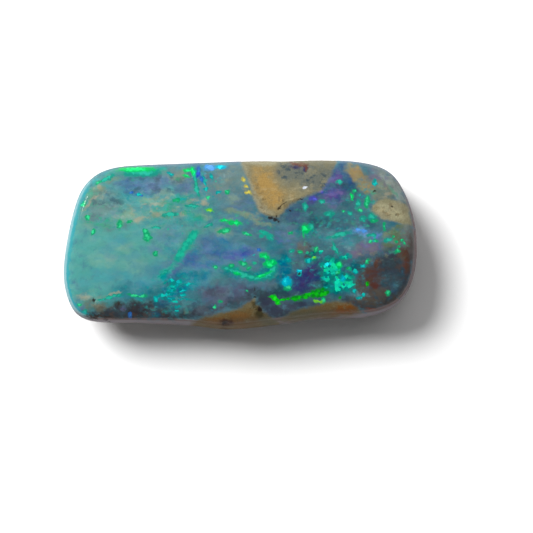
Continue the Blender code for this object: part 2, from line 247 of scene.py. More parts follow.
# Body colours under the polish, laid one over the last. Spots are x, y, half length, half width and,
# where they lie at an angle, turn in degrees. Strokes are a half width and the points that they run
# through. A layer with a fade of 0 is full in most of its spots, and one of 1 only in their middles.
# Each row is hue, strength, fade, spots and strokes.
bodyLayers = [
    # broad zones: milky sea-green at the left, teal, slate at the right
    ("#529f98", 1.0, 0.55, [(-7.9, -0.2, 5.2, 6.6)], []),
    ("#56a39d", 0.8, 0.6, [(-4.3, 1.6, 3.6, 2.4)], []),
    ("#3f6a78", 0.9, 0.5, [(6.2, 1.2, 5.6, 5.0)], []),
    ("#3f5e6c", 0.9, 0.5, [(3.6, -3.2, 4.2, 2.2), (9.3, -2.6, 2.6, 2.8)], []),
    ("#4d93a2", 0.7, 0.6, [(-5.6, -2.2, 3.4, 1.2), (-2.6, -2.3, 1.9, 1.0)], []),
    ("#6e8886", 0.85, 0.6, [(-0.7, 4.1, 1.9, 1.7), (-4.0, 4.4, 1.2, 0.7)], []),
    ("#4a7684", 0.75, 0.6, [(0.2, 2.5, 1.5, 1.0), (2.3, 0.6, 2.2, 1.3)], []),
    # left end
    ("#6c8f8d", 0.9, 0.6, [(-8.6, 2.2, 1.5, 1.3), (-8.0, 2.9, 0.9, 0.7)], []),
    ("#577479", 0.6, 0.8, [
        (-8.1, 2.6, 0.5, 0.45), (-9.1, 1.8, 0.5, 0.3), (-8.3, 1.0, 0.55, 0.3), (-7.1, 1.25, 0.45, 0.3),
    ], []),
    ("#72907a", 0.8, 0.6, [(-8.95, 3.35, 0.75, 0.5, 20), (-7.9, 4.2, 0.7, 0.3)], []),
    ("#3f9c78", 0.8, 0.7, [
        (-9.45, 3.1, 0.4, 0.28, 50), (-7.55, 1.5, 0.35, 0.4), (-9.0, 1.3, 0.9, 0.3), (-8.2, 1.6, 0.5, 0.4),
    ], []),
    ("#74a798", 0.55, 0.7, [
        (-6.6, -1.3, 1.1, 0.8), (-6.9, 1.9, 1.0, 0.6), (-8.6, -0.9, 1.2, 0.6), (-8.9, 3.7, 0.4, 0.3),
    ], []),
    ("#7e9f94", 0.45, 0.8, [
        (-8.1, -0.9, 0.45, 0.3), (-7.2, -0.1, 0.8, 0.35), (-9.6, 1.2, 0.5, 0.4), (-6.4, 1.6, 0.5, 0.4),
    ], []),
    ("#4a9fa6", 0.6, 0.8, [
        (-7.7, 0.35, 0.8, 0.5), (-8.6, -2.0, 1.2, 0.5), (-6.9, -2.1, 1.0, 0.45), (-7.2, 2.9, 0.8, 0.6),
        (-9.7, -2.4, 0.5, 0.6),
    ], []),
    # violet blue and steel clouds
    ("#507c9a", 0.85, 0.6, [(-6.2, 3.85, 1.9, 0.8), (-3.6, 3.5, 0.7, 0.7), (-4.9, 4.0, 0.8, 0.5)], []),
    ("#5f78a2", 0.5, 0.8, [
        (-6.9, 3.95, 0.8, 0.35), (-5.6, 3.75, 0.7, 0.4), (-4.5, 0.5, 1.2, 0.6), (-5.35, -0.3, 0.6, 0.35),
        (-3.3, 3.6, 0.4, 0.35), (0.1, 2.35, 0.8, 0.35),
    ], []),
    ("#457b9c", 0.85, 0.6, [
        (-2.9, -1.1, 2.2, 0.95, 10), (-0.4, -0.6, 1.9, 0.7), (-1.6, 0.1, 1.2, 0.5),
    ], []),
    ("#4e6f9e", 0.6, 0.7, [
        (-3.3, -0.95, 1.1, 0.4, 15), (-4.2, -1.6, 0.5, 0.4, 40), (-1.0, -0.5, 0.8, 0.3),
        (-2.3, -1.4, 0.8, 0.3),
    ], []),
    ("#4f60a4", 0.7, 0.6, [(0.45, -0.4, 1.0, 0.3, 6), (-0.6, -0.75, 0.5, 0.15)], []),
    ("#2f8ca4", 0.8, 0.7, [
        (-2.6, -2.3, 1.2, 0.7), (-4.0, -2.6, 1.2, 0.7), (-6.4, -2.6, 0.9, 0.35), (-4.7, -3.6, 0.8, 0.4),
    ], []),
    ("#3c7d86", 0.8, 0.7, [
        (-6.9, -2.6, 0.8, 0.4), (-1.1, -2.2, 1.1, 0.5), (-2.6, -3.4, 0.9, 0.7), (-4.9, -2.9, 1.0, 0.4),
    ], []),
    ("#237c88", 0.8, 0.7, [
        (-6.0, -3.05, 2.4, 0.55, 4), (-4.2, -2.9, 1.7, 0.9), (-3.4, -2.2, 1.4, 0.6), (-7.2, -2.9, 1.0, 0.4),
    ], []),
    # khaki and cream wisps
    ("#8fa58a", 0.5, 0.8, [
        (-5.2, 2.0, 0.65, 0.35), (-6.9, 1.95, 0.5, 0.3), (-4.2, 2.3, 0.45, 0.3), (-2.2, 1.8, 0.6, 0.3),
        (-3.7, 4.3, 0.6, 0.4), (-0.5, 2.85, 0.6, 0.35), (-1.0, 0.75, 0.8, 0.4),
    ], [(0.22, [(-6.0, 2.85), (-5.3, 3.1), (-4.7, 3.35), (-4.2, 3.05)])]),
    ("#ada68c", 0.65, 0.8, [
        (-5.35, 2.7, 0.3, 0.2), (-3.0, 2.75, 0.35, 0.15), (-3.55, 1.85, 0.2, 0.2), (-6.3, 1.6, 0.35, 0.25),
        (-2.35, 2.6, 0.35, 0.2), (-8.8, 3.65, 0.2, 0.2), (-9.8, -3.3, 0.4, 0.25), (-5.1, 2.05, 0.3, 0.2),
    ], [(0.09, [(-8.85, 3.1), (-9.4, 2.75), (-9.85, 2.3)]), (0.1, [(-8.3, -3.2), (-7.5, -2.9)])]),
    ("#7b9478", 0.75, 0.8, [], [
        (0.24, [(-0.9, 2.15), (-0.2, 2.0), (0.6, 1.7)]), (0.15, [(0.6, 1.7), (1.2, 1.4), (2.0, 1.15)]),
    ]),
    ("#14ab94", 0.9, 0.7, [], [
        (0.36, [(-2.8, 0.75), (-3.25, 0.2), (-3.6, -0.35), (-3.95, -0.95)]),
        (0.22, [(-3.95, -0.95), (-4.4, -1.5), (-5.2, -2.0)]),
        (0.3, [
            (-0.9, -1.5), (-0.3, -1.68), (0.3, -1.96), (1.0, -2.1), (1.75, -1.9), (2.15, -1.5),
            (2.05, -1.0),
        ]),
    ]),
    ("#2aa596", 0.75, 0.7, [
        (-4.6, 2.35, 0.9, 0.4), (-3.2, 2.3, 0.7, 0.25), (-2.8, 1.6, 0.7, 0.5), (-3.6, 3.0, 0.7, 0.3),
        (-5.2, 1.4, 0.6, 0.3), (-6.2, 4.6, 1.4, 0.3), (-5.2, 4.8, 0.7, 0.3),
    ], []),
    # middle
    ("#575f76", 0.85, 0.6, [(-1.3, -3.2, 1.7, 1.0, 5), (0.1, -3.1, 0.9, 0.6)], []),
    ("#4a4a5c", 0.6, 0.8, [(-1.6, -3.0, 0.7, 0.4), (-0.4, -3.5, 0.9, 0.35, 10)], []),
    ("#126c92", 0.9, 0.6, [(9.62, -3.05, 0.26, 0.22)], []),
    ("#148a99", 0.75, 0.8, [
        (-4.0, -2.6, 1.0, 0.6, 30), (-4.6, -3.3, 0.9, 0.35), (-4.8, -2.0, 0.5, 0.2, 35),
    ], []),
    ("#4c545e", 0.85, 0.7, [
        (-2.3, -4.15, 1.5, 0.5, 12), (-0.6, -3.8, 1.0, 0.35, 18), (1.6, -3.4, 0.8, 0.6),
        (0.4, -3.3, 0.6, 0.3, 30), (8.0, -4.2, 0.9, 0.3, 15),
    ], []),
    ("#567b8b", 0.6, 0.7, [(3.0, 0.4, 0.8, 0.6), (1.4, -2.5, 1.3, 0.4), (3.0, 1.2, 0.9, 0.3)], []),
    ("#1f7d86", 0.85, 0.6, [
        (2.1, -0.1, 0.7, 0.4), (1.9, -1.3, 0.9, 0.9), (0.6, -2.0, 1.4, 0.4), (2.75, -1.5, 0.6, 1.2),
        (4.0, 0.9, 0.75, 0.6), (-0.8, -1.6, 0.7, 0.4),
    ], []),
    ("#006d86", 0.85, 0.7, [(2.75, -1.6, 0.5, 1.1), (2.95, -2.4, 0.75, 0.6), (3.6, -2.3, 0.6, 0.4)], []),
    ("#5b8f8f", 0.6, 0.7, [(0.6, -1.35, 0.9, 0.4)], []),
    ("#3d5a78", 0.8, 0.6, [(3.5, 2.2, 1.1, 0.7, 25), (3.2, 1.7, 0.9, 0.4)], []),
    ("#6e665c", 0.7, 0.8, [(3.85, -0.15, 0.5, 0.45), (4.3, -0.4, 0.3, 0.3)], []),
    ("#26464e", 0.8, 0.7, [(2.5, -3.0, 1.5, 0.5, 5), (1.6, -3.3, 0.8, 0.4), (4.1, -2.7, 0.9, 0.3, 10)], []),
    ("#3a4152", 0.9, 0.6, [(2.3, -4.1, 0.9, 0.6), (3.4, -3.85, 1.6, 0.3, 6), (1.6, -3.5, 0.7, 0.5)], []),
    ("#35444e", 0.75, 0.8, [(0.9, -3.0, 0.8, 0.45), (1.5, -3.1, 0.6, 0.4)], []),
    # right end
    ("#3f7c84", 0.6, 0.7, [
        (5.6, 1.9, 1.0, 0.5), (7.6, 2.6, 0.7, 1.3, 10), (6.9, 1.9, 0.8, 0.5), (6.2, 0.7, 1.3, 0.5, 8),
        (5.0, 2.6, 0.5, 0.3),
    ], []),
    ("#2f5364", 0.7, 0.7, [(6.9, 3.4, 0.8, 0.8), (5.0, 1.3, 1.2, 0.45), (8.0, 1.4, 0.8, 0.3)], []),
    ("#4f8d9b", 0.7, 0.7, [(6.6, 0.1, 1.1, 0.5), (8.4, 0.5, 1.1, 0.5), (5.7, 0.5, 0.9, 0.5)], []),
    ("#4a4f86", 0.8, 0.55, [
        (5.9, 3.15, 1.0, 0.6, 5), (6.0, 4.3, 0.45, 0.75, -20), (4.65, 2.85, 0.45, 0.35),
    ], []),
    ("#35557e", 0.85, 0.7, [
        (6.55, 4.5, 0.4, 0.9, 15), (5.35, 3.7, 0.3, 0.6, -25), (5.15, 3.25, 0.4, 0.3),
        (7.0, 3.9, 0.3, 0.4, 20),
    ], []),
    ("#5f4688", 0.75, 0.7, [(5.7, 3.1, 0.5, 0.35), (6.1, 4.4, 0.25, 0.4)], []),
    ("#7a8474", 0.85, 0.6, [(8.9, 3.7, 1.1, 0.8, -30), (8.5, 3.1, 0.6, 0.5), (6.95, 4.8, 0.5, 0.35)], []),
    ("#746b82", 0.8, 0.7, [
        (8.5, 4.45, 0.7, 0.4, -25), (9.4, 4.0, 0.4, 0.5, -40), (8.1, -0.25, 1.1, 0.45),
        (7.4, -0.45, 0.7, 0.4),
    ], []),
    ("#9b8859", 0.9, 0.7, [], [(0.45, [(7.0, 4.8), (7.4, 4.4), (7.75, 4.0), (8.05, 3.5)])]),
    ("#6a93cc", 0.85, 0.8, [(7.35, 0.85, 0.55, 0.38), (7.9, 0.75, 0.5, 0.3, 10), (8.6, 0.6, 0.4, 0.2)], []),
    ("#65744f", 0.8, 0.7, [(9.8, 0.5, 0.8, 0.7), (10.1, 1.15, 0.6, 0.25), (9.3, -0.1, 0.5, 0.3)], []),
    ("#6f7a76", 0.85, 0.7, [
        (9.7, 4.1, 1.5, 0.7, -45), (10.5, 2.9, 0.5, 0.9), (10.7, 0.8, 0.7, 1.2), (9.0, 4.8, 1.2, 0.4, -20),
    ], []),
    ("#9aa8a2", 0.75, 0.7, [(10.05, 3.2, 0.5, 0.9, 15), (9.4, 4.2, 0.7, 0.4, -40)], []),
    ("#62a088", 0.7, 0.9, [], [(0.18, [(9.35, 3.75), (9.65, 3.4), (9.9, 3.05)])]),
    ("#5f524e", 0.85, 0.7, [(10.7, -0.5, 0.5, 1.6), (10.3, -3.3, 0.6, 0.9, -30)], []),
    ("#37424b", 0.95, 0.6, [(9.6, -1.6, 1.3, 1.5), (8.9, -3.1, 1.4, 0.9), (7.4, -3.6, 1.3, 0.45)], []),
    ("#333a72", 0.9, 0.5, [(4.2, -2.0, 1.5, 0.7, 30), (4.9, -1.2, 0.9, 0.4, 30)], []),
    ("#3d3362", 0.7, 0.7, [(4.7, -1.6, 0.8, 0.3, 32), (4.0, -2.3, 0.6, 0.25, 20)], []),
    ("#005f6a", 0.95, 0.5, [
        (5.7, -1.6, 0.9, 0.95), (6.2, -2.4, 1.2, 0.85), (4.5, -0.8, 0.6, 0.55), (7.2, -1.5, 0.6, 0.5),
    ], []),
    ("#5a5148", 0.85, 0.6, [
        (8.2, -3.3, 1.3, 0.6, 10), (7.6, -2.6, 0.7, 0.5), (9.7, -3.6, 0.7, 0.4, 40), (10.2, -0.6, 0.4, 0.6),
    ], []),
    ("#5a3526", 0.85, 0.75, [
        (8.1, -1.95, 0.85, 0.7), (8.55, -1.2, 0.4, 0.6, -15), (8.5, -2.5, 0.45, 0.35),
        (10.45, -1.3, 0.3, 0.7, -4), (10.3, -0.6, 0.2, 0.3), (8.15, -3.95, 0.4, 0.2),
    ], []),
    ("#8f4c26", 0.95, 0.6, [(8.15, -4.0, 0.36, 0.18, -15)], []),
    # dark ironstone along the bottom edge
    ("#333a44", 0.95, 0.6, [
        (-7.3, -4.2, 2.3, 0.75), (-5.3, -4.2, 1.1, 0.7), (-3.2, -4.4, 0.9, 0.45),
        (-9.0, -4.6, 1.2, 0.4, -6),
    ], []),
    ("#3b2e29", 0.9, 0.7, [
        (-6.15, -3.85, 0.95, 0.55), (-8.9, -4.75, 1.6, 0.3, -4), (-4.5, -4.4, 0.6, 0.4),
        (-8.8, -4.65, 1.3, 0.28, -6), (-7.5, -3.75, 0.4, 0.3),
    ], []),
    ("#33343a", 0.85, 0.3, [
        (-6.3, -4.0, 1.4, 0.5), (-7.6, -4.55, 2.6, 0.35, -2), (-4.4, -4.55, 1.6, 0.2),
        (-8.9, -4.7, 1.1, 0.25, -8),
    ], []),
    ("#3a2b24", 0.9, 0.5, [], [(0.16, [(-10.0, -4.1), (-9.2, -4.5), (-8.2, -4.72), (-7.2, -4.9)])]),
    ("#6d7464", 0.8, 0.7, [(-8.6, -3.9, 0.6, 0.3), (-9.5, -3.75, 0.45, 0.35), (-3.3, -4.2, 0.3, 0.2)], []),
    ("#5f6590", 0.7, 0.7, [(-9.9, -4.0, 0.35, 0.2), (-7.3, -3.9, 0.3, 0.2)], []),
    ("#1c5f74", 0.8, 0.7, [(-5.0, -3.75, 0.7, 0.35), (-4.1, -4.1, 0.6, 0.35), (-5.3, -4.5, 0.5, 0.25)], []),
]

# Flecks in the body colour: hue, strength, size, stretch, where in the noise they begin and are full,
# and the zones that they lie in, as spots
bodyFlecks = [
    ("#4e8fa0", 0.5, 0.7, 1.8, (0.45, 0.65), [(-6.5, 0.0, 4.5, 5.5)]),
    ("#74ad98", 0.35, 0.6, 1.6, (0.5, 0.7), [(-7.0, -0.2, 4.5, 3.5)]),
    ("#33505e", 0.6, 0.5, 1.4, (0.48, 0.66), [
        (-5.0, -4.1, 5.8, 1.3), (2.2, -3.8, 2.8, 0.9), (8.4, -2.6, 2.8, 2.4), (-8.3, 2.3, 1.6, 1.5),
        (3.6, 1.8, 2.4, 1.4), (-5.4, 4.0, 3.2, 1.0), (-1.6, -3.6, 2.6, 1.2), (6.6, 3.2, 1.2, 1.4),
    ]),
    ("#5876ac", 0.5, 0.42, 2.2, (0.48, 0.72), [
        (-2.2, -0.9, 3.2, 1.2), (0.2, -0.4, 1.9, 0.7), (-5.8, 3.8, 2.8, 1.0), (-5.0, 0.2, 1.5, 1.1),
        (-3.2, 3.6, 1.1, 1.1), (0.2, 2.4, 1.4, 0.9), (7.5, 0.7, 1.8, 0.9), (5.4, 3.3, 1.4, 1.4),
        (2.6, 0.4, 1.6, 1.0),
    ]),
    ("#74609a", 0.5, 0.4, 1.6, (0.5, 0.66), [
        (5.8, 3.4, 1.2, 1.6), (8.3, -0.1, 1.7, 0.8), (8.7, 4.3, 1.0, 0.6, -30),
    ]),
    ("#8b8f72", 0.55, 0.45, 1.5, (0.48, 0.74), [
        (8.9, 3.5, 1.7, 1.5), (9.8, 0.7, 1.1, 1.4), (-0.8, 4.1, 1.8, 1.5), (0.5, 1.6, 2.4, 0.9, -15),
        (-8.7, 3.6, 1.3, 0.9, 20), (-9.2, -3.7, 1.3, 0.9), (-4.8, 2.4, 3.4, 1.2, 5), (8.3, -0.6, 1.4, 0.8),
    ]),
    ("#b0a58c", 0.55, 0.38, 1.5, (0.5, 0.74), [
        (-5.6, 2.3, 3.4, 1.0, 8), (-2.7, 2.8, 1.4, 0.9), (-8.9, 3.4, 1.0, 0.8), (-9.2, -3.5, 1.3, 0.6),
        (0.3, 3.6, 0.5, 1.0), (9.3, 3.2, 1.2, 0.9),
    ]),
    ("#2fa583", 0.7, 0.28, 1.4, (0.52, 0.74), [
        (-8.3, 1.7, 2.4, 1.3), (-9.3, 3.0, 1.0, 1.2), (-3.4, 4.3, 1.6, 0.9), (-3.5, 2.1, 2.6, 1.0),
        (0.5, 1.3, 2.6, 1.1), (7.8, 2.2, 1.6, 2.2), (9.8, 0.1, 1.0, 1.4), (4.6, 1.5, 2.2, 1.6),
        (-6.5, 4.5, 2.4, 0.7), (3.9, -0.4, 1.6, 1.2),
    ]),
    ("#1f9a9a", 0.75, 0.26, 1.4, (0.5, 0.72), [
        (-4.2, -2.6, 2.4, 1.7), (-6.3, -3.1, 2.8, 0.9), (-3.5, -0.2, 1.0, 2.2, -30), (-4.4, 1.7, 2.4, 1.1),
        (6.0, 0.9, 3.0, 1.4), (6.0, -1.8, 2.4, 2.2), (1.0, -1.7, 2.6, 1.2), (2.8, -1.7, 1.1, 1.6),
        (-2.2, 3.8, 1.6, 1.6), (7.6, 2.4, 1.5, 1.9), (-4.6, -4.0, 2.2, 0.9),
    ]),
    ("#86b4b4", 0.4, 0.26, 1.5, (0.52, 0.74), [
        (6.4, 0.3, 2.6, 1.1), (-1.5, 4.6, 1.8, 0.9), (7.6, -3.1, 1.1, 0.7), (8.7, 4.1, 1.0, 0.9),
        (-7.0, 2.6, 3.0, 1.6),
    ]),
    ("#54423a", 0.6, 0.34, 1.2, (0.5, 0.66), [
        (-6.8, -4.3, 3.8, 0.8), (8.3, -2.0, 1.5, 1.8), (10.2, -1.1, 0.8, 2.0), (8.2, -3.6, 2.3, 0.6),
        (4.1, -0.4, 0.9, 0.9),
    ]),
]

# Colours of the matrix, laid in the same way over its common tan
matrixLayers = [
    ("#918a69", 0.9, 0.8, [(2.0, 3.5, 2.2, 2.4), (3.4, 3.3, 1.8, 1.0, 15)], []),
    ("#9f8856", 0.75, 0.8, [(1.6, 3.8, 1.3, 1.9, 12), (2.3, 3.1, 1.2, 1.1, 20)], []),
    ("#b3904e", 0.75, 0.9, [(1.5, 3.9, 0.9, 1.3, 15), (2.1, 3.1, 0.9, 0.8, 20)], []),
    ("#9a967a", 0.85, 0.8, [], [
        (0.3, [(0.1, 5.1), (0.5, 4.0), (0.85, 3.1), (1.2, 2.3), (1.9, 1.95)]),
        (0.25, [(0.4, 5.25), (1.5, 5.3), (2.6, 5.3)]),
    ]),
    ("#68706a", 0.85, 0.5, [(4.5, 4.3, 2.2, 1.0), (3.3, 4.6, 1.4, 0.7), (5.5, 4.4, 0.6, 0.9, -20)], []),
    ("#33305c", 0.9, 0.6, [(3.45, 4.98, 0.4, 0.22), (4.1, 4.8, 0.25, 0.2)], []),
    ("#6c4136", 0.9, 0.6, [(3.95, 5.1, 0.45, 0.22), (4.15, 4.85, 0.15, 0.2), (3.4, 5.2, 0.4, 0.12)], []),
    ("#5e5238", 0.6, 0.8, [], [(0.12, [(2.7, 2.2), (3.3, 2.7), (3.9, 3.0), (4.6, 3.25)])]),
    ("#9c9779", 0.95, 0.5, [(9.6, 2.1, 2.4, 1.6)], []),
    ("#aaa785", 0.8, 0.7, [(8.8, 2.35, 0.6, 0.4), (9.9, 1.9, 0.7, 0.35)], []),
    ("#8a8868", 0.7, 0.7, [(9.3, 2.8, 0.8, 0.3), (9.9, 1.4, 0.7, 0.2), (8.4, 2.2, 0.3, 0.3)], []),
    ("#6c5a39", 1.0, 0.4, [(-0.6, -5.0, 3.8, 2.2), (5.4, -4.4, 4.0, 1.2)], []),
    ("#77552e", 0.85, 0.6, [(0.0, -4.6, 0.9, 0.5), (-1.4, -4.75, 0.9, 0.3)], []),
    ("#6f6548", 0.85, 0.7, [], [(0.2, [(-2.3, -4.45), (-1.2, -4.3), (-0.1, -4.05), (0.6, -3.65)])]),
    ("#452713", 1.0, 0.4, [(-0.92, -4.86, 0.5, 0.26, 5)], []),
    ("#3a3722", 0.9, 0.6, [(1.3, -4.15, 0.4, 0.45, 30), (1.0, -3.7, 0.25, 0.3)], []),
    ("#636048", 0.9, 0.6, [(3.9, -4.3, 1.6, 0.45, 8), (1.8, -4.7, 0.6, 0.4)], []),
    ("#7e4a14", 0.95, 0.6, [(6.4, -4.05, 1.1, 0.36, 2), (7.0, -4.2, 0.5, 0.2)], []),
    ("#6d5d3e", 0.7, 0.7, [(5.2, -4.05, 0.6, 0.3, 10), (6.3, -3.65, 0.8, 0.12)], []),
]

# The flecks in the matrix
matrixFlecks = [
    ("#8f8b70", 0.7, 0.4, 1.2, (0.5, 0.7), [(4.3, 4.0, 2.2, 1.4)]),
    ("#3d4f58", 0.85, 0.36, 1.3, (0.47, 0.6), [
        (2.9, 4.7, 1.0, 0.6, -10), (4.3, 4.3, 1.5, 0.5), (5.3, 3.8, 0.6, 0.6),
    ]),
    ("#6b5a3c", 0.6, 0.3, 1.3, (0.5, 0.66), [
        (2.0, 2.4, 1.4, 0.9, 30), (1.2, 3.0, 0.5, 1.4, 20), (9.3, 1.9, 1.4, 0.9),
        (-0.9, -4.6, 2.4, 0.6, 10), (5.0, -4.1, 2.4, 0.5),
    ]),
    ("#c4b48a", 0.5, 0.4, 1.6, (0.5, 0.7), [
        (1.4, 3.4, 1.4, 2.2), (9.2, 2.2, 1.4, 0.9), (3.6, 3.3, 1.4, 0.6, 20),
    ]),
]

